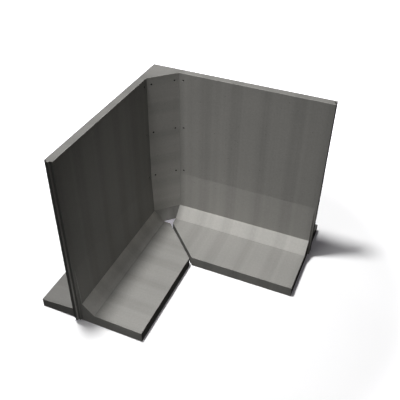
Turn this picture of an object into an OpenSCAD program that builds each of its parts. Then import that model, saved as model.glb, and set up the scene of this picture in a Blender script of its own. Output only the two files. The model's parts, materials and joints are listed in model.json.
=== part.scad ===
// Inside-corner unit of a precast inverted-T retaining wall: two wings at a right angle,
// each a stem on a footing, joined by a corner column with its inner face splayed at 45
// degrees. +Z is up, the footings rest on Z = 0 and the origin is at the middle of the
// base. The right wing runs along +X and the left wing along -Y, with the inner side
// between them.

/* [Wall] */
// Height of the unit, from the underside of the footing to the top of the stem
wall_h = 2500; // [2080:10:3400]
// Length of each wing, from the outer corner to the shoulder of its stem
wing_len = 2465; // [1800:5:3600]
// Thickness of the stem from its top down to the kink
stem_t = 100; // [80:1:124]
// Thickness of the stem where its batter meets the haunch
batter_t = 124; // [103:1:170]
// Height of the kink, where the inner face starts to batter
kink_z = 900; // [600:5:1200]

/* [Footing] */
// Height of the top edge of the haunch
haunch_z = 321; // [260:1:440]
// Height of the foot of the haunch, and of the slab beside the stem
slab_root_z = 166; // [120:1:220]
// Distance from the outer face to the foot of the haunch
haunch_reach = 281; // [200:1:370]
// Distance from the outer face to the inner edge of the slab
slab_inner = 950; // [700:5:1300]
// Thickness of the slab at its inner edge
slab_inner_t = 155; // [80:1:190]
// Reach of the outer toe beyond the outer face
toe_reach = 509; // [300:1:700]
// Thickness of the outer toe at its edge
toe_t = 125; // [80:1:160]
// Set-back of the left footing from the left shoulder
left_setback = 44; // [15:1:120]
// Set-back of the right footing from the right shoulder
right_setback = 30; // [15:1:120]
// Height above the ground of the stem end that stands past its footing
end_lift = 50; // [0:1:100]

/* [Corner] */
// Length of each outer side of the corner column, from the outer corner to a wing
corner_side = 413; // [340:1:600]
// Thickness of the two skirt walls that take the corner column down to the ground
skirt_t = 100; // [60:1:140]
// Open gap between the two mitred footings, measured square to it
mitre_gap = 38; // [15:1:60]

/* [Wall joints] */
// Distance that the tongue stands out from the left shoulder
tongue_out = 22; // [12:1:40]
// Width of the tongue at its root
tongue_root = 36; // [26:1:48]
// Width of the tongue at its tip
tongue_tip = 24; // [12:1:34]
// Clearance between a tongue and its neighbour's groove, on each face
tongue_clear = 3; // [1:0.5:6]

/* [Sockets] */
// Number of socket rows, one above the other
socket_rows = 3; // [1:1:3]
// Distance of the top row below the top of the stem
socket_drop = 101; // [60:1:200]
// Spacing of the socket rows
socket_pitch = 717; // [300:1:860]
// Distance of the wing sockets from the fold beside the corner column
wing_socket_in = 58; // [40:1:120]
// Distance of the corner sockets from the same fold, across the splayed face
corner_socket_in = 64; // [40:1:120]
// Width of the socket's hexagonal body across its flats
socket_af = 27; // [25:0.5:34]
// Diameter of the socket's bore
socket_bore_d = 17.5; // [10:0.5:19]
// Length of the socket's body
socket_len = 50; // [40:1:60]
// Depth of the socket's bore
socket_bore_len = 42; // [20:1:50]
// Depth of the socket behind the concrete face
socket_recess = 5; // [2:1:10]
// Diameter of the opening in the concrete, where it meets the socket
mouth_d = 24; // [20:0.5:24.5]
// Widening of the opening towards the face, for each millimetre of its depth
mouth_taper = 0.4; // [0.1:0.1:1]

/* [Hidden] */
// Colour of the concrete
concrete = [0.60, 0.60, 0.58];
// Colour of the steel sockets
steel = [0.36, 0.35, 0.33];
// Overshoot of a cutting shape past the face that it cuts
over = 10;
// Facets of a full circle
$fn = 48;

// The four columns of sockets, each named for its face
socket_sides = ["left_wall", "corner_left", "corner_right", "right_wall"];

// Middle of the footprint, seen from the outer corner
centre_x = (wing_len - toe_reach) / 2;
centre_y = (toe_reach - wing_len - tongue_out) / 2;
// Half of the mitre gap, measured along a wing
mitre_step = mitre_gap / sqrt(2);

// Name of one socket, counted from the top row
function socket_name(side, row) = str(side, "_socket_", row);

// Height of one row of sockets
function socket_z(row) = wall_h - socket_drop - (row - 1) * socket_pitch;

// Value between a and b, as z goes from za to zb
function between(z, za, a, zb, b) = a + (b - a) * (z - za) / (zb - za);

// Thickness of the stem at height z, with its batter and its haunch
function stem_at(z) =
    z >= kink_z ? stem_t :
    z >= haunch_z ? between(z, kink_z, stem_t, haunch_z, batter_t) :
    between(z, haunch_z, batter_t, slab_root_z, haunch_reach);

// Moves the outer corner of the base, where the pieces are laid out, off the origin
module placed() {
    translate([-centre_x, -centre_y, 0])
        children();
}

// Swaps a shape of the right wing for the same shape on the left wing
module on_left() {
    mirror([1, 1, 0])
        children();
}

// Cross-section of a footing with its haunch: X is the distance in from the outer face,
// and Y is the height
module footing_section() {
    polygon([
        [-toe_reach, 0],
        [slab_inner, 0],
        [slab_inner, slab_inner_t],
        [haunch_reach, slab_root_z],
        [batter_t, haunch_z],
        [batter_t, slab_root_z],
        [0, slab_root_z],
        [-toe_reach, toe_t]
    ]);
}

// Cross-section of a stem, which stands on the footing behind the haunch
module stem_section() {
    polygon([
        [0, slab_root_z],
        [batter_t, slab_root_z],
        [batter_t, haunch_z],
        [stem_t, kink_z],
        [stem_t, wall_h],
        [0, wall_h]
    ]);
}

// Carries a cross-section along the right wing, from the corner column to the footing's
// end, with its inner side towards -Y
module wing_run(setback) {
    translate([corner_side, 0, 0])
        rotate([90, 0, 90])
            linear_extrude(wing_len - setback - corner_side)
                mirror([1, 0])
                    children();
}

// The ground beyond the mitre line, which the footing of the right wing leaves free
module mitre_cut() {
    near = corner_side - over;
    far = slab_inner + over;
    translate([0, 0, -over])
        linear_extrude(slab_root_z + 2 * over)
            polygon([
                [near, mitre_step - near],
                [far + mitre_step, -far],
                [near, -far]
            ]);
}

// Plan of a tongue on the right wing's end, grown by a clearance on its three faces
module tongue_plan(clear) {
    root = tongue_root / 2 + clear;
    tip = tongue_tip / 2 + clear;
    out = tongue_out + clear;
    polygon([
        [-over, root],
        [0, root],
        [out, tip],
        [out, -tip],
        [0, -root],
        [-over, -root]
    ]);
}

// The groove in the right wing's end, which takes the tongue of the next element
module groove() {
    translate([wing_len, -stem_t / 2, end_lift - over])
        mirror([1, 0, 0])
            linear_extrude(wall_h - end_lift + 2 * over)
                tongue_plan(tongue_clear);
}

// A footing on the right wing, mitred at the corner
module footing_blank(setback) {
    difference() {
        wing_run(setback)
            footing_section();
        mitre_cut();
    }
}

// A stem on the right wing. Its plain end stands past the footing, clear of the ground.
module stem_blank(setback) {
    footing_end = wing_len - setback;
    wing_run(setback)
        stem_section();
    rotate([90, 0, 0])
        linear_extrude(stem_t)
            polygon([
                [footing_end - over, slab_root_z],
                [footing_end, slab_root_z],
                [footing_end, end_lift],
                [wing_len, end_lift],
                [wing_len, wall_h],
                [footing_end - over, wall_h]
            ]);
}

// Places a child, which points along +Z, square to the face at a right-hand socket
module at_right_socket(side, row) {
    z = socket_z(row);
    t = stem_at(z);
    step = corner_socket_in / sqrt(2);
    if (side == "right_wall")
        translate([corner_side + wing_socket_in, -t, z])
            rotate([90, 0, 0])
                children();
    else
        translate([corner_side - step, -t - step, z])
            rotate([90, 0, 45])
                children();
}

// Places a child at any socket
module at_socket(side, row) {
    if (side == "left_wall")
        on_left() at_right_socket("right_wall", row) children();
    else if (side == "corner_left")
        on_left() at_right_socket("corner_right", row) children();
    else
        at_right_socket(side, row) children();
}

// A socket's hexagonal body, with its flats at the top and bottom and its mouth at Z = 0
module socket_body() {
    translate([0, 0, -socket_len])
        cylinder(h = socket_len, d = socket_af / cos(30), $fn = 6);
}

// The seats in the concrete round one column of sockets, each with a tapered opening
module socket_seats(side) {
    for (row = [1:socket_rows])
        at_socket(side, row)
            translate([0, 0, -socket_recess]) {
                socket_body();
                translate([0, 0, -over])
                    cylinder(
                        h = socket_recess + 2 * over,
                        d1 = mouth_d - over * mouth_taper,
                        d2 = mouth_d + (socket_recess + over) * mouth_taper
                    );
            }
}

module left_stem() {
    color(concrete)
        placed() {
            difference() {
                on_left() stem_blank(left_setback);
                socket_seats("left_wall");
            }
            on_left()
                translate([wing_len, -stem_t / 2, end_lift])
                    linear_extrude(wall_h - end_lift)
                        tongue_plan(0);
        }
}

module left_footing() {
    color(concrete)
        placed()
            on_left()
                footing_blank(left_setback);
}

module right_stem() {
    color(concrete)
        placed()
            difference() {
                stem_blank(right_setback);
                socket_seats("right_wall");
                groove();
            }
}

// The groove reaches the footing only where it is deeper than the set-back
module right_footing() {
    color(concrete)
        placed()
            difference() {
                footing_blank(right_setback);
                groove();
            }
}

// Side view of the corner column, seen along its splayed face. The haunch's slope runs
// on to the ground here, and the hollow under the column trims it at the slab's height.
module splay_section() {
    // Distance in from the outer corner to the splayed face, where the stem is t thick
    function splay_in(t) = (corner_side + t) / sqrt(2);
    polygon([
        [0, 0],
        [splay_in(stem_at(0)), 0],
        [splay_in(batter_t), haunch_z],
        [splay_in(stem_t), kink_z],
        [splay_in(stem_t), wall_h],
        [0, wall_h]
    ]);
}

module corner_column() {
    color(concrete)
        placed()
            difference() {
                intersection() {
                    translate([0, -corner_side, 0])
                        cube([corner_side, corner_side, wall_h]);
                    rotate([90, 0, -45])
                        translate([0, 0, -2 * corner_side])
                            linear_extrude(4 * corner_side)
                                splay_section();
                }
                skirt_hollow();
                socket_seats("corner_left");
                socket_seats("corner_right");
            }
}

// The hollow under the corner column, behind the mouth between the two footings
module skirt_hollow() {
    side = corner_side - skirt_t + over;
    translate([skirt_t, -skirt_t - side, -over])
        cube([side, side, slab_root_z + over]);
}

// A blind threaded socket, cast in with its mouth just behind the face
module socket(side, row) {
    color(steel)
        placed()
            at_socket(side, row)
                translate([0, 0, -socket_recess])
                    difference() {
                        socket_body();
                        translate([0, 0, -socket_bore_len])
                            cylinder(h = socket_bore_len + over, d = socket_bore_d);
                    }
}

left_stem();
left_footing();
right_stem();
right_footing();
corner_column();
for (side = socket_sides, row = [1:socket_rows])
    socket(side, row);
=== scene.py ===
import json
import math

import bmesh
import bpy
import numpy as np
from mathutils import Matrix, Vector


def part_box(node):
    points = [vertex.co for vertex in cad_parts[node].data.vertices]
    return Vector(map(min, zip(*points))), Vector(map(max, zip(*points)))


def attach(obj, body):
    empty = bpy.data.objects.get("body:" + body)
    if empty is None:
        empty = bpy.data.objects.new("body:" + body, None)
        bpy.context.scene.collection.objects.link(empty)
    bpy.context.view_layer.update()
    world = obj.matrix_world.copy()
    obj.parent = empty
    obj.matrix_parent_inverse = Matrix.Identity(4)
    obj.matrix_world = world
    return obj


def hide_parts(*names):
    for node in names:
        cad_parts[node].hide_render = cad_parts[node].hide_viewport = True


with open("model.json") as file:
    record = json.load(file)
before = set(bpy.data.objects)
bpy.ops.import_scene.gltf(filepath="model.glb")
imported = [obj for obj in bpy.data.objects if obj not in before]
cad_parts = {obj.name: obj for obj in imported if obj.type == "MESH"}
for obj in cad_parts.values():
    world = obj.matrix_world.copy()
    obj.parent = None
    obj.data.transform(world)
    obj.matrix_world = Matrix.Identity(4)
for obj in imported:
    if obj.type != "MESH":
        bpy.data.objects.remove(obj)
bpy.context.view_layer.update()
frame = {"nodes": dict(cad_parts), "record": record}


mounts = {mount["name"]: mount for mount in frame["record"]["mounts"]}
concreteNodes = [n for n in frame["nodes"] if "socket" not in n]
socketNodes = sorted(n for n in frame["nodes"] if "socket" in n)
print("frame loaded:", len(concreteNodes), "concrete pieces,", len(socketNodes), "sockets")


def linearColor(hexText):
    # sRGB hex to linear: c / 12.92 below 0.04045, else ((c + 0.055) / 1.055) ^ 2.4
    c = np.array([int(hexText[i:i + 2], 16) for i in (1, 3, 5)]) / 255
    c = np.where(c <= 0.04045, c / 12.92, ((c + 0.055) / 1.055) ** 2.4)
    return (*[float(v) for v in c], 1.0)


def addNode(tree, kind, inputs=None, **settings):
    # one node, its settings, and for each input a fixed value or the socket it is linked to
    node = tree.nodes.new(kind)
    for name, value in settings.items():
        setattr(node, name, value)
    for key, value in (inputs or {}).items():
        if isinstance(value, bpy.types.NodeSocket):
            tree.links.new(value, node.inputs[key])
        else:
            node.inputs[key].default_value = value
    return node


def newMaterial(name):
    # an empty node material, and its node tree
    material = bpy.data.materials.new(name)
    material.use_nodes = True
    material.node_tree.nodes.clear()
    return material, material.node_tree


def placePiece(name, mesh, nodes):
    # puts a mesh into the scene as a piece that stands for CAD nodes
    piece = bpy.data.objects.new(name, mesh)
    bpy.context.scene.collection.objects.link(piece)
    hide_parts(*nodes)
    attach(piece, "root")
    return piece


# cast concrete: the five concrete pieces, each welded into one shell, with their real arrises
# eased
arris = {
    "radius": 0.003,       # how far the form's fillet strip eases an outer edge
    "segments": 3,
    "weld": 2e-5,          # corners of loose triangles closer than this are one corner
    "flatAngle": 0.4,      # degrees, below which two faces are one
    "sharpAngle": 0.3,     # radians, below which an edge is not an arris
    "shortest": 0.017,     # edges shorter than this are the rims of the socket openings
    "probeRadius": 0.004,  # circle round an edge's middle that is tested for concrete
    "probePoints": 16,
    "probeStart": 0.37,    # keeps the points off the faces, as a share of their spacing
    "outerShare": 0.42,    # an outer edge has less of its circle in concrete than this
}


def trianglesOf(node):
    # corners of all the triangles of a CAD node, as an array (triangle, corner, xyz)
    mesh = frame["nodes"][node].data
    mesh.calc_loop_triangles()
    corners = np.zeros(len(mesh.loop_triangles) * 3, np.int32)
    mesh.loop_triangles.foreach_get("vertices", corners)
    points = np.zeros(len(mesh.vertices) * 3)
    mesh.vertices.foreach_get("co", points)
    return points.reshape(-1, 3)[corners].reshape(-1, 3, 3)


def insideShare(points, triangles):
    # winding number: the solid angles of all the triangles, seen from each point, added up
    # and divided by 4 pi. It is 1 inside any of the solids and 0 outside them all.
    total = np.zeros(len(points))
    batch = 400                                      # points at a time, to save memory
    for start in range(0, len(points), batch):
        spokes = triangles[None] - points[start:start + batch, None, None]
        a, b, c = spokes[:, :, 0], spokes[:, :, 1], spokes[:, :, 2]
        la, lb, lc = (np.linalg.norm(v, axis=2) for v in (a, b, c))
        top = (a * np.cross(b, c)).sum(2)
        bottom = (la * lb * lc + (a * b).sum(2) * lc
                  + (b * c).sum(2) * la + (c * a).sum(2) * lb)
        total[start:start + batch] = 2 * np.arctan2(top, bottom).sum(1) / (4 * math.pi)
    return total


def realArris(ends, triangles):
    # share of a small circle round each edge's middle that lies in concrete: a quarter at a
    # square outer edge, a half on a flat face or a flush seam, more in an inner corner
    along = ends[:, 1] - ends[:, 0]
    length = np.linalg.norm(along, axis=1)
    along /= length[:, None]
    helper = np.where(np.abs(along[:, 2:3]) < 0.9, [[0.0, 0.0, 1.0]], [[1.0, 0.0, 0.0]])
    u = np.cross(along, helper)
    u /= np.linalg.norm(u, axis=1)[:, None]
    v = np.cross(along, u)
    turn = np.arange(arris["probePoints"]) + arris["probeStart"]
    turn = (2 * np.pi * turn / arris["probePoints"])[None, :, None]
    circle = np.cos(turn) * u[:, None] + np.sin(turn) * v[:, None]
    points = ends.mean(1)[:, None] + arris["probeRadius"] * circle
    inside = insideShare(points.reshape(-1, 3), triangles).reshape(len(ends), -1) > 0.5
    return inside.mean(1) < arris["outerShare"]


concreteTriangles = np.concatenate([trianglesOf(n) for n in concreteNodes])
concretePieces = []
for name in concreteNodes:
    mesh = frame["nodes"][name].data.copy()
    mesh.materials.clear()
    shell = bmesh.new()
    shell.from_mesh(mesh)
    bmesh.ops.remove_doubles(shell, verts=shell.verts, dist=arris["weld"])
    bmesh.ops.dissolve_limit(shell, angle_limit=math.radians(arris["flatAngle"]),
                             verts=shell.verts, edges=shell.edges)
    layer = shell.edges.layers.float.new("bevel_weight_edge")
    sharp = [e for e in shell.edges if e.calc_length() > arris["shortest"]
             and e.is_manifold and e.calc_face_angle_signed() > arris["sharpAngle"]]
    ends = np.array([[v.co for v in e.verts] for e in sharp], float)
    eased = realArris(ends, concreteTriangles)
    for edge, on in zip(sharp, eased):
        edge[layer] = float(on)
    shell.to_mesh(mesh)
    shell.free()
    mesh.shade_flat()
    mesh.name = "cast_" + name
    piece = placePiece("cast_" + name, mesh, [name])
    bevel = piece.modifiers.new("arris", "BEVEL")
    bevel.limit_method = "WEIGHT"
    bevel.width = arris["radius"]
    bevel.segments = arris["segments"]
    bevel.miter_outer = "MITER_ARC"
    concretePieces.append(piece)
    print(f"{piece.name}: {len(mesh.polygons)} faces, {int(eased.sum())} eased arrises")


# threaded sockets: a hexagonal bar with a cut thread, one for each CAD socket
socket = {
    "flats": 0.027,        # width across the flats
    "length": 0.050,
    "boreDepth": 0.042,
    "mouth": 0.021,        # from the mount's point, half way down the bore, to the mouth
    "endChamfer": 0.0008,
    "pitch": 0.0025,       # M20 coarse thread
    "crest": 0.00875,      # radius of the thread's crests, the bore's own wall
    "root": 0.0100,        # radius of the thread's roots
    "mouthRadius": 0.0104,
    "lead": 0.0016,        # depth of the countersink at the mouth
    "floorCone": 0.002,    # the cone that the drill leaves in the bore's floor
    "flankGain": 1.6,      # the thread's wave is made this much taller, lowered by the
    "flankDrop": 0.3,      # next value and cut at 0 and 1, for flat crests and roots
    "samplesPerPitch": 6,
    "around": 48,
    "weld": 1e-6,
}


def socketMesh(mount):
    # Surface of revolution with two twists. Going along the profile (rows) it runs from the
    # middle of the back, round the hexagonal side and the front, down the thread and to the
    # middle of the bore's floor. Going round (columns) the outside has the radius of a
    # hexagon, flats / 2 / cos(angle from the middle of a flat), and the thread has a
    # triangle wave of depth along the bore, shifted by one pitch for each turn.
    s = socket
    turn = 2 * np.pi * np.arange(s["around"]) / s["around"]
    hexagon = s["flats"] / 2 / np.cos((turn % (np.pi / 3)) - np.pi / 6)
    rows = int(s["boreDepth"] / s["pitch"] * s["samplesPerPitch"])
    down = np.linspace(s["lead"], s["boreDepth"], rows)
    phase = (down[:, None] / s["pitch"] - turn[None] / (2 * np.pi)) % 1.0
    wave = np.clip(np.abs(phase * 2 - 1) * s["flankGain"] - s["flankDrop"], 0, 1)
    # the thread fades into the countersink over its first pitch, and out over its last
    fade = np.clip((down - s["lead"]) / s["pitch"], 0, 1)[:, None]
    thread = s["crest"] + (s["root"] - s["crest"]) * (wave * fade + (1 - fade))
    tail = np.clip((s["boreDepth"] - down) / s["pitch"], 0, 1)[:, None]
    thread = s["crest"] + (thread - s["crest"]) * tail
    one = np.ones(len(turn))
    chamfer, back = s["endChamfer"], s["length"]
    radius = np.vstack([0 * one, hexagon - chamfer, hexagon, hexagon, hexagon - chamfer,
                        s["mouthRadius"] * one, thread, 0 * one])
    depth = np.concatenate([[back, back, back - chamfer, chamfer, 0, 0], down,
                            [s["boreDepth"] + s["floorCone"]]])
    axis = np.array(mount["axis"], float)
    side = np.cross([0.0, 0.0, 1.0], axis)
    up = np.cross(axis, side)
    mouth = np.array(mount["pos_m"]) + axis * s["mouth"]
    points = (mouth - depth[:, None, None] * axis
              + radius[:, :, None] * (np.cos(turn)[None, :, None] * side
                                      + np.sin(turn)[None, :, None] * up))
    n, m = radius.shape
    i, j = np.meshgrid(np.arange(n - 1), np.arange(m), indexing="ij")
    k = (j + 1) % m
    quads = np.stack([i * m + j, i * m + k, (i + 1) * m + k, (i + 1) * m + j], -1)
    mesh = bpy.data.meshes.new("socket")
    mesh.from_pydata(points.reshape(-1, 3), [], quads.reshape(-1, 4).tolist())
    shell = bmesh.new()
    shell.from_mesh(mesh)
    bmesh.ops.remove_doubles(shell, verts=shell.verts, dist=s["weld"])
    bmesh.ops.recalc_face_normals(shell, faces=shell.faces)
    shell.to_mesh(mesh)
    shell.free()
    return mesh


socketPieces = []
for name in socketNodes:
    mesh = socketMesh(mounts[name])
    mesh.name = "threaded_" + name
    socketPieces.append(placePiece("threaded_" + name, mesh, [name]))
print("sockets made:", len(socketPieces), "with", len(mesh.polygons), "faces each")


# finish of the cast concrete, and the painted light and shade of its regions: sizes in metres,
# dips and swings as shares of the tone
formCast = {
    "warm": "#8c8a86",               # cement paste where it dried slowly
    "cool": "#8a8985",               # and where it dried fast
    "roughness": 0.6,
    "panelPitch": 0.413,             # width of the form panels
    "panelFirst": 0.80,              # first panel joint along a wing, from the outer corner
    "panelDip": 0.12,                # how much darker the paste is at a panel joint
    "runs": (11.0, 0.30),            # upright runs in a panel: how many a metre, and swing
    "clouds": (1.7, 0.15),           # broad clouding, likewise
    "grain": (38.0, 0.28),           # sandy grain of 1 to 3 mm, drawn 15 to 30 mm to show
    "voidCell": 0.042,               # spacing of the air voids
    "voidRadius": 0.0060,            # the largest of them
    "voidless": 0.45,                # share of the cells that have none
    "voidEdge": 0.02,                # softness of their edge, as a share of the spacing
    "voidShade": 0.42,                 # painted shade: how much darker the pits are painted
    "reliefDepth": 0.0016,           # depth of the grain and the voids in the bump
    "reliefShare": 0.5,
    # painted light and shade: what each region multiplies the paste by, so that each face is as
    # light or dark as the light falls on it
    "tone": {
        "leftWall": (0.84, 1.12),    # painted shade and light: the plumb left wall, darker at the kink and lighter at the top
        "rightWall": (1.20, 0.97),   # painted light: the plumb right wall, lighter at the kink than at the top
        "batter": (0.87, 1.29),      # painted shade and light below the kink: darker on the left wall, lighter on the right wall
        "leftHaunch": (1.50, 2.25),  # painted light: the left wing's shadowed haunch, lightened at its foot and more at its top
        "rightHaunch": 1.48,         # painted light: the right wing's haunch, lightened all over
        "splay": 1.69,               # painted light: the splayed face, lightened
        "splayFoot": (1.62, 0.64),   # painted light and shade: its sloping foot, lightened beside the left wing where the key lamp's shadow falls, darkened beside the right wing
        "slab": 1.00,                # the floated inner slab
        "toe": 0.58,                 # the outer toe, darker than the slab
        "top": (0.52, 0.69),         # the left and the right wall's top, darker than the slab; the left one, nearer the key lamp, is painted darker as shade
        "end": 0.40,                 # painted shade: the stem ends, darkened
    },
    # where the regions lie
    "place": {
        "wall": (0.9, 2.5),          # heights of the kink and of the top
        "haunch": (0.170, 0.280),    # heights of the haunch's foot and near its top
        "splayFoot": 0.12,           # half the width over which the splay's foot changes
        "corner": 0.5,               # half the length over which the tops change
        "wings": 0.413,              # the wings start this far from the outer corner
        "toes": 0.004,               # the toes start this far outside the outer face
        "tops": 1.0,                 # level faces above this height are the tops
        "ends": 2.43,                # the stem ends stand past this distance along a wing
    },
    # how far a face is turned for a region, from its unit normal: a pair says where the
    # region starts and where it is full
    "turn": {
        "upright": 0.2,              # the most that an upright face looks up
        "batter": (0.01, 0.035),     # how far the battered foot looks up
        "slope": (0.3, 0.6),         # the haunches
        "level": (0.85, 0.95),       # the slabs, toes and tops
        "splay": (1.15, 1.3),        # how far the splay looks along both wings, added up
        "splayed": 1.2,              # the least of that for a face of the splay
        "end": (0.4, 0.8),           # how far a stem end looks along its own wing
    },
}


def castPattern(tree, place, across, facing):
    # Tone of the paste itself, about 1: dark bands at the panel joints, upright runs, clouds
    # and grain, each as swing * (pattern - its mean), and pits for the air voids, painted
    # darker as shade in them.
    f = formCast
    # panel joints: a cosine across the bands, its upper part raised smoothly to 1
    phase = addNode(tree, "ShaderNodeMath",
                    {0: across, 1: 2 * math.pi / f["panelPitch"],
                     2: -2 * math.pi * f["panelFirst"] / f["panelPitch"]},
                    operation="MULTIPLY_ADD")
    wave = addNode(tree, "ShaderNodeMath", {0: phase.outputs[0]}, operation="COSINE")
    joint = addNode(tree, "ShaderNodeMapRange",
                    {0: wave.outputs[0], 1: -0.1, 2: 1.0, 3: 0.0, 4: 1.0},
                    interpolation_type="SMOOTHSTEP")
    # upright runs: noise that changes along the wing and not at all up it
    line = addNode(tree, "ShaderNodeCombineXYZ", {"X": across})
    runs = addNode(tree, "ShaderNodeTexNoise",
                   {"Vector": line.outputs[0], "Scale": f["runs"][0], "Detail": 4.0,
                    "Roughness": 0.6})
    clouds = addNode(tree, "ShaderNodeTexNoise",
                     {"Vector": place, "Scale": f["clouds"][0], "Detail": 3.0})
    grain = addNode(tree, "ShaderNodeTexNoise",
                    {"Vector": place, "Scale": f["grain"][0], "Detail": 4.0,
                     "Roughness": 0.65})
    # air voids left against the form: round pits on the upright faces, each with its own
    # size. Real ones are 2 to 8 mm across, and the largest are drawn 12 mm to show.
    cells = addNode(tree, "ShaderNodeTexVoronoi", {"Vector": place, "Scale": 1 / f["voidCell"]})
    chance = addNode(tree, "ShaderNodeSeparateColor", {0: cells.outputs["Color"]})
    reach = addNode(tree, "ShaderNodeMapRange",
                    {0: chance.outputs[0], 1: f["voidless"], 2: 1.0, 3: 0.0,
                     4: f["voidRadius"] / f["voidCell"]})
    depth = addNode(tree, "ShaderNodeMath",
                    {0: reach.outputs[0], 1: cells.outputs["Distance"]}, operation="SUBTRACT")
    pit = addNode(tree, "ShaderNodeMapRange",
                  {0: depth.outputs[0], 1: 0.0, 2: f["voidEdge"], 3: 0.0, 4: 1.0})
    upright = addNode(tree, "ShaderNodeMath", {0: facing["Z"], 1: f["turn"]["upright"]},
                      operation="LESS_THAN")
    voids = addNode(tree, "ShaderNodeMath", {0: pit.outputs[0], 1: upright.outputs[0]},
                    operation="MULTIPLY")
    # painted shade: the pits are painted darker, as shade falls in them
    pitShaded = addNode(tree, "ShaderNodeMath", {0: voids.outputs[0], 1: -f["voidShade"], 2: 1.0},
                    operation="MULTIPLY_ADD")
    jointMean, noiseMean = 0.3, 0.5
    tone = 1.0
    for swing, pattern, mean in ((-f["panelDip"], joint, jointMean),
                                 (f["runs"][1], runs, noiseMean),
                                 (f["clouds"][1], clouds, noiseMean),
                                 (f["grain"][1], grain, noiseMean)):
        added = addNode(tree, "ShaderNodeMath", {0: pattern.outputs[0], 1: swing, 2: tone},
                        operation="MULTIPLY_ADD")
        tone = addNode(tree, "ShaderNodeMath", {0: added.outputs[0], 1: swing * mean},
                       operation="SUBTRACT").outputs[0]
    tone = addNode(tree, "ShaderNodeMath", {0: tone, 1: pitShaded.outputs[0]},
                   operation="MULTIPLY")
    relief = addNode(tree, "ShaderNodeMath", {0: grain.outputs[0], 1: voids.outputs[0]},
                     operation="SUBTRACT")
    return tone.outputs[0], clouds.outputs[0], relief.outputs[0]


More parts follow.
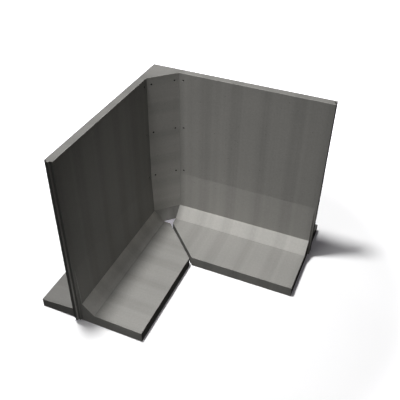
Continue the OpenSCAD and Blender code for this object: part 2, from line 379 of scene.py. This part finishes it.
def paintRegionLightAndShade(tree, height, facing, alongRight, alongLeft, along, outward, onSplay):
    # Painted light and shade of each region: a tone chosen by which way a face points, how high
    # it is and which wing it belongs to, standing for how the light falls on it. A range goes
    # in a straight line from one tone to the next.
    tone, place, turn = (formCast[k] for k in ("tone", "place", "turn"))

    # rightward is how much nearer the right wing than the left one a point is
    rightward = addNode(tree, "ShaderNodeMath", {0: alongRight, 1: alongLeft},
                        operation="SUBTRACT").outputs[0]
    onRight = addNode(tree, "ShaderNodeMath", {0: rightward, 1: 0.0},
                      operation="GREATER_THAN").outputs[0]
    onWing = addNode(tree, "ShaderNodeMath", {0: along, 1: place["wings"]},
                     operation="GREATER_THAN").outputs[0]

    # plumb walls and the splay, painted lighter or darker by height and by wing as the light
    # falls on them, which turn into the batter where the face leans back
    kink, wallTop = place["wall"]
    plumbLeft, plumbRight = (
        addNode(tree, "ShaderNodeMapRange", {0: height, 1: kink, 2: wallTop,
                                             3: tone[wall][0], 4: tone[wall][1]})
        for wall in ("leftWall", "rightWall"))
    plumb = addNode(tree, "ShaderNodeMix", {"Factor": onRight, 2: plumbLeft.outputs[0],
                                            3: plumbRight.outputs[0]})
    start, full = turn["splay"]
    upper = addNode(tree, "ShaderNodeMapRange", {0: outward, 1: start, 2: full,
                                                 3: plumb.outputs[0], 4: tone["splay"]})
    batter = addNode(tree, "ShaderNodeMix", {"Factor": onRight, 2: tone["batter"][0],
                                             3: tone["batter"][1]})
    lower = addNode(tree, "ShaderNodeMix", {"Factor": onSplay, 2: batter.outputs[0],
                                            3: tone["splay"]})
    start, full = turn["batter"]
    wall = addNode(tree, "ShaderNodeMapRange", {0: facing["Z"], 1: start, 2: full,
                                                3: upper.outputs[0], 4: lower.outputs[0]})

    # slopes: the haunches on the wings, and the splay's foot between them, painted lighter or
    # darker as the light falls on them
    low, high = place["haunch"]
    leftHaunch = addNode(tree, "ShaderNodeMapRange", {0: height, 1: low, 2: high,
                                                      3: tone["leftHaunch"][0],
                                                      4: tone["leftHaunch"][1]})
    wingHaunch = addNode(tree, "ShaderNodeMix", {"Factor": onRight,
                                                 2: leftHaunch.outputs[0],
                                                 3: tone["rightHaunch"]})
    half = place["splayFoot"]
    splayFoot = addNode(tree, "ShaderNodeMapRange", {0: rightward, 1: -half, 2: half,
                                                     3: tone["splayFoot"][0],
                                                     4: tone["splayFoot"][1]})
    haunch = addNode(tree, "ShaderNodeMix", {"Factor": onWing, 2: splayFoot.outputs[0],
                                             3: wingHaunch.outputs[0]})
    start, full = turn["slope"]
    sloped = addNode(tree, "ShaderNodeMapRange", {0: facing["Z"], 1: start, 2: full,
                                                  3: wall.outputs[0], 4: haunch.outputs[0]})

    # level faces: the inner slabs, the outer toes and the walls' tops. The smaller of the
    # two distances along the wings is below 0 on the outer toes only.
    beyond = addNode(tree, "ShaderNodeMath", {0: alongRight, 1: alongLeft},
                     operation="MINIMUM")
    outside = addNode(tree, "ShaderNodeMath", {0: beyond.outputs[0], 1: -place["toes"]},
                      operation="LESS_THAN")
    footingTone = addNode(tree, "ShaderNodeMix", {"Factor": outside.outputs[0],
                                              2: tone["slab"], 3: tone["toe"]})
    # painted shade on the tops: the left top, nearer the key lamp, is made darker than the
    # right
    half = place["corner"]
    topShade = addNode(tree, "ShaderNodeMapRange", {0: rightward, 1: -half, 2: half,
                                                  3: tone["top"][0], 4: tone["top"][1]})
    aloft = addNode(tree, "ShaderNodeMath", {0: height, 1: place["tops"]},
                    operation="GREATER_THAN")
    level = addNode(tree, "ShaderNodeMix", {"Factor": aloft.outputs[0],
                                            2: footingTone.outputs[0], 3: topShade.outputs[0]})
    start, full = turn["level"]
    flat = addNode(tree, "ShaderNodeMapRange", {0: facing["Z"], 1: start, 2: full,
                                                3: 0.0, 4: 1.0})
    region = addNode(tree, "ShaderNodeMix", {"Factor": flat.outputs[0],
                                             2: sloped.outputs[0], 3: level.outputs[0]})

    # the stem ends face out along their own wing, past the footing's end, and are painted
    # darker as shade
    southward = addNode(tree, "ShaderNodeMath", {0: facing["Y"], 1: -1.0},
                        operation="MULTIPLY")
    endwise = addNode(tree, "ShaderNodeMix", {"Factor": onRight, 2: southward.outputs[0],
                                              3: facing["X"]})
    start, full = turn["end"]
    endFace = addNode(tree, "ShaderNodeMapRange", {0: endwise.outputs[0], 1: start, 2: full,
                                                   3: 0.0, 4: 1.0})
    past = addNode(tree, "ShaderNodeMath", {0: along, 1: place["ends"]},
                   operation="GREATER_THAN")
    end = addNode(tree, "ShaderNodeMath", {0: endFace.outputs[0], 1: past.outputs[0]},
                  operation="MULTIPLY")
    return addNode(tree, "ShaderNodeMix", {"Factor": end.outputs[0], 2: region.outputs[0],
                                           3: tone["end"]}).outputs[0]


def formCastConcrete():
    # Form-cast concrete: grey cement paste set against upright form panels, its footing floated
    # by hand. It gives a matt face with a faint darker band at each panel joint, upright runs,
    # broad clouding, a sandy grain and small air voids painted darker as shade. Each region is
    # also painted lighter or darker as the light falls on it.
    material, tree = newMaterial("form_cast_concrete_painted_light")
    f = formCast
    columnLow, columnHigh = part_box("corner_column")
    cornerX, cornerY = columnLow.x, columnHigh.y     # the outer corner of the two wings
    place = addNode(tree, "ShaderNodeTexCoord").outputs
    parts = addNode(tree, "ShaderNodeSeparateXYZ", {0: place["Object"]}).outputs
    facing = addNode(tree, "ShaderNodeSeparateXYZ", {0: place["Normal"]}).outputs
    # distance along each wing from the outer corner, and the larger of the two
    alongRight = addNode(tree, "ShaderNodeMath", {0: parts["X"], 1: cornerX},
                         operation="SUBTRACT").outputs[0]
    alongLeft = addNode(tree, "ShaderNodeMath", {0: cornerY, 1: parts["Y"]},
                        operation="SUBTRACT").outputs[0]
    along = addNode(tree, "ShaderNodeMath", {0: alongRight, 1: alongLeft},
                    operation="MAXIMUM").outputs[0]
    # the outward turn of a face along both wings: 1.4 on the splay, 1 on a wing's end face
    outward = addNode(tree, "ShaderNodeMath", {0: facing["X"], 1: facing["Y"]},
                      operation="SUBTRACT").outputs[0]
    onSplay = addNode(tree, "ShaderNodeMath", {0: outward, 1: f["turn"]["splayed"]},
                      operation="GREATER_THAN").outputs[0]
    # bands cross the wings' form panels, but lie level on the splay, where lifts meet
    across = addNode(tree, "ShaderNodeMix", {"Factor": onSplay, 2: along, 3: parts["Z"]})

    tone, clouds, relief = castPattern(tree, place["Object"], across.outputs[0], facing)
    region = paintRegionLightAndShade(tree, parts["Z"], facing, alongRight, alongLeft, along, outward,
                        onSplay)
    # colour: the paste's hue * its tone * the region's painted light and shade
    shade = addNode(tree, "ShaderNodeMath", {0: tone, 1: region}, operation="MULTIPLY")
    hue = addNode(tree, "ShaderNodeMix", {"Factor": clouds, 6: linearColor(f["cool"]),
                                          7: linearColor(f["warm"])}, data_type="RGBA")
    color = addNode(tree, "ShaderNodeVectorMath",
                    {0: hue.outputs[2], "Scale": shade.outputs[0]}, operation="SCALE")
    bump = addNode(tree, "ShaderNodeBump", {"Height": relief, "Strength": f["reliefShare"],
                                            "Distance": f["reliefDepth"]})
    shader = addNode(tree, "ShaderNodeBsdfPrincipled",
                     {"Base Color": color.outputs[0], "Roughness": f["roughness"],
                      "IOR": 1.5, "Normal": bump.outputs[0]})
    addNode(tree, "ShaderNodeOutputMaterial", {"Surface": shader.outputs[0]})
    return material


zincPlate = {
    "dark": "#2a2927",
    "light": "#474541",
    "patches": 180.0,            # how many cloudy patches a metre, about 5 mm wide
    "roughness": 0.55,
}


def zincPlatedSteel():
    # Zinc-plated turned steel gone dull. It gives a low sheen, with cloudy grey patches.
    material, tree = newMaterial("dull_zinc_plated_steel")
    z = zincPlate
    place = addNode(tree, "ShaderNodeTexCoord").outputs["Object"]
    patches = addNode(tree, "ShaderNodeTexNoise",
                      {"Vector": place, "Scale": z["patches"], "Detail": 3.0})
    color = addNode(tree, "ShaderNodeMix",
                    {"Factor": patches.outputs[0], 6: linearColor(z["dark"]),
                     7: linearColor(z["light"])}, data_type="RGBA")
    shader = addNode(tree, "ShaderNodeBsdfPrincipled",
                     {"Base Color": color.outputs[2], "Roughness": z["roughness"],
                      "Metallic": 1.0})
    addNode(tree, "ShaderNodeOutputMaterial", {"Surface": shader.outputs[0]})
    return material


concrete = formCastConcrete()
for piece in concretePieces:
    piece.data.materials.append(concrete)
steel = zincPlatedSteel()
for piece in socketPieces:
    piece.data.materials.append(steel)
print("materials done")


# the plain floor and backdrop, in metres
studio = {
    "floorHalf": 40.0,             # half the floor's side
    "floor": "#f9f9f9",
    "paintedFloorGlow": (0.065, 1.25),    # painted light: a faint glow near the object that lifts its cast shadows, and a full glow out where the floor is blank
    "glowFrom": (2.7, 4.2),        # metres from the middle: the blank part starts, and is full
    "hollow": (-0.60, 0.61, 0.0),  # middle of the hollow under the corner, where a pool of light is painted on the floor
    "hollowEdge": (0.22, 0.34),    # metres from there: full, and gone
    "hollowPaintedLight": 0.42,
    "paintedShadowTint": "#f5f0fb",         # painted shadow colour: a little violet, which tints the cast shadows on the floor
    "backdrop": 1.0,               # brightness of the world, seen by the camera alone
}

# soft lamps: place, radius, power in watts, and the point each one looks at
lamps = {
    "key": ((-2.13, -0.86, 12.75), 0.80, 1670.0, (0.0, 0.0, 1.0)),
    "room": ((0.82, -0.81, 2.00), 0.60, 2.0, (-0.98, 0.99, 1.0)),
    "front": ((0.52, -2.01, 1.00), 0.50, 1.3, (-0.08, 0.99, 0.8)),
    "foot": ((-0.18, -1.91, 0.40), 0.25, 1.0, (-0.86, -1.21, 0.3)),
    "back": ((-7.00, 7.00, 4.00), 2.00, 190.0, (-0.5, 0.5, 1.0)),
}

# broad washes of light: the direction it comes from, in degrees round from +X and up from
# the floor, the spread in degrees, and the strength
washes = {
    "low_front": (270, 8, 20, 0.35),
    "high_front": (240, 60, 24, 0.267),
    "low_right": (15, 12, 24, 0.05),
}

side = np.array([-studio["floorHalf"], studio["floorHalf"]])
x, y = np.meshgrid(side, side)
floorMesh = bpy.data.meshes.new("floor")
floorMesh.from_pydata(np.stack([x.ravel(), y.ravel(), 0 * x.ravel()], 1), [], [(0, 1, 3, 2)])
floor = bpy.data.objects.new("floor", floorMesh)
bpy.context.scene.collection.objects.link(floor)
floor.visible_diffuse = False                        # no bounce: the low faces stay dark
floor.visible_glossy = False
floorMaterial, tree = newMaterial("pale_floor")
floorPoint = addNode(tree, "ShaderNodeTexCoord").outputs["Object"]
fromMiddle = addNode(tree, "ShaderNodeVectorMath", {0: floorPoint}, operation="LENGTH")
# painted light: the floor glows faintly near the object, lifting its cast shadows, and fully
# out where it is blank so it stays evenly white
around = addNode(tree, "ShaderNodeMapRange",
                 {0: fromMiddle.outputs["Value"],
                  1: studio["glowFrom"][0], 2: studio["glowFrom"][1],
                  3: studio["paintedFloorGlow"][0], 4: studio["paintedFloorGlow"][1]},
                 interpolation_type="SMOOTHSTEP")
# painted light: a pool of glow on the floor in the hollow under the corner column
toHollow = addNode(tree, "ShaderNodeVectorMath", {0: floorPoint, 1: studio["hollow"]},
                   operation="DISTANCE")
hollowLightPool = addNode(tree, "ShaderNodeMapRange",
                   {0: toHollow.outputs["Value"],
                    1: studio["hollowEdge"][0], 2: studio["hollowEdge"][1],
                    3: studio["hollowPaintedLight"], 4: 0.0})
glow = addNode(tree, "ShaderNodeMath", {0: around.outputs[0], 1: hollowLightPool.outputs[0]},
               operation="MAXIMUM")
shader = addNode(tree, "ShaderNodeBsdfPrincipled",
                 {"Base Color": linearColor(studio["floor"]), "Roughness": 1.0,
                  "Specular IOR Level": 0.0,
                  "Emission Color": linearColor(studio["paintedShadowTint"]),
                  "Emission Strength": glow.outputs[0]})
addNode(tree, "ShaderNodeOutputMaterial", {"Surface": shader.outputs[0]})
floorMesh.materials.append(floorMaterial)

# the world is only a pale backdrop: it lights nothing
world = bpy.data.worlds.new("studio")
world.use_nodes = True
tree = world.node_tree
tree.nodes.clear()
seen = addNode(tree, "ShaderNodeLightPath")
backdrop = addNode(tree, "ShaderNodeMath", {0: seen.outputs["Is Camera Ray"],
                                            1: studio["backdrop"]}, operation="MULTIPLY")
sky = addNode(tree, "ShaderNodeBackground", {"Color": (1, 1, 1, 1),
                                             "Strength": backdrop.outputs[0]})
addNode(tree, "ShaderNodeOutputWorld", {"Surface": sky.outputs[0]})
bpy.context.scene.world = world


def hangLamp(name, kind, place, away, **settings):
    # a lamp shines along its own -Z, so its +Z is turned to point away from what it lights
    data = bpy.data.lights.new(name, kind)
    for key, value in settings.items():
        setattr(data, key, value)
    lamp = bpy.data.objects.new(name, data)
    lamp.location = place
    lamp.rotation_mode = "QUATERNION"
    lamp.rotation_quaternion = away.to_track_quat("Z", "Y")
    lamp.visible_camera = False
    bpy.context.scene.collection.objects.link(lamp)


for name, (place, radius, power, target) in lamps.items():
    hangLamp(name, "AREA", place, Vector(place) - Vector(target), shape="DISK",
             size=2 * radius, energy=power)
washDistance = 9                                     # shown in the viewport only
for name, (compass, rise, spread, strength) in washes.items():
    c, e = math.radians(compass), math.radians(rise)
    away = Vector((math.cos(c) * math.cos(e), math.sin(c) * math.cos(e), math.sin(e)))
    hangLamp(name, "SUN", away * washDistance, away, angle=math.radians(spread),
             energy=strength)

shot = {
    "azimuth": 22.650,                 # degrees from the -Y side round towards +X
    "elevation": 38.514,
    "roll": 0.892,
    "target": (-0.0004, 0.3068, 1.0),  # the point in the middle of the view, metres
    "distance": 7.619,                 # from there to the camera
    "lens": 50.595,                    # millimetres
    "sensor": 36.0,
}

a, e, r = (math.radians(shot[k]) for k in ("azimuth", "elevation", "roll"))
back = Vector((math.sin(a) * math.cos(e), -math.cos(a) * math.cos(e), math.sin(e)))
level = Vector((math.cos(a), math.sin(a), 0))
over = back.cross(level)
right = math.cos(r) * level + math.sin(r) * over
up = math.cos(r) * over - math.sin(r) * level
stand = Vector(shot["target"]) + back * shot["distance"]
cameraData = bpy.data.cameras.new("camera")
cameraData.lens = shot["lens"]
cameraData.sensor_width = shot["sensor"]
camera = bpy.data.objects.new("camera", cameraData)
camera.matrix_world = (Matrix.Translation(stand)
                       @ Matrix((right, up, back)).transposed().to_4x4())
bpy.context.scene.collection.objects.link(camera)
bpy.context.scene.camera = camera
bpy.context.scene.view_settings.view_transform = "Standard"
print("floor, light and camera set")
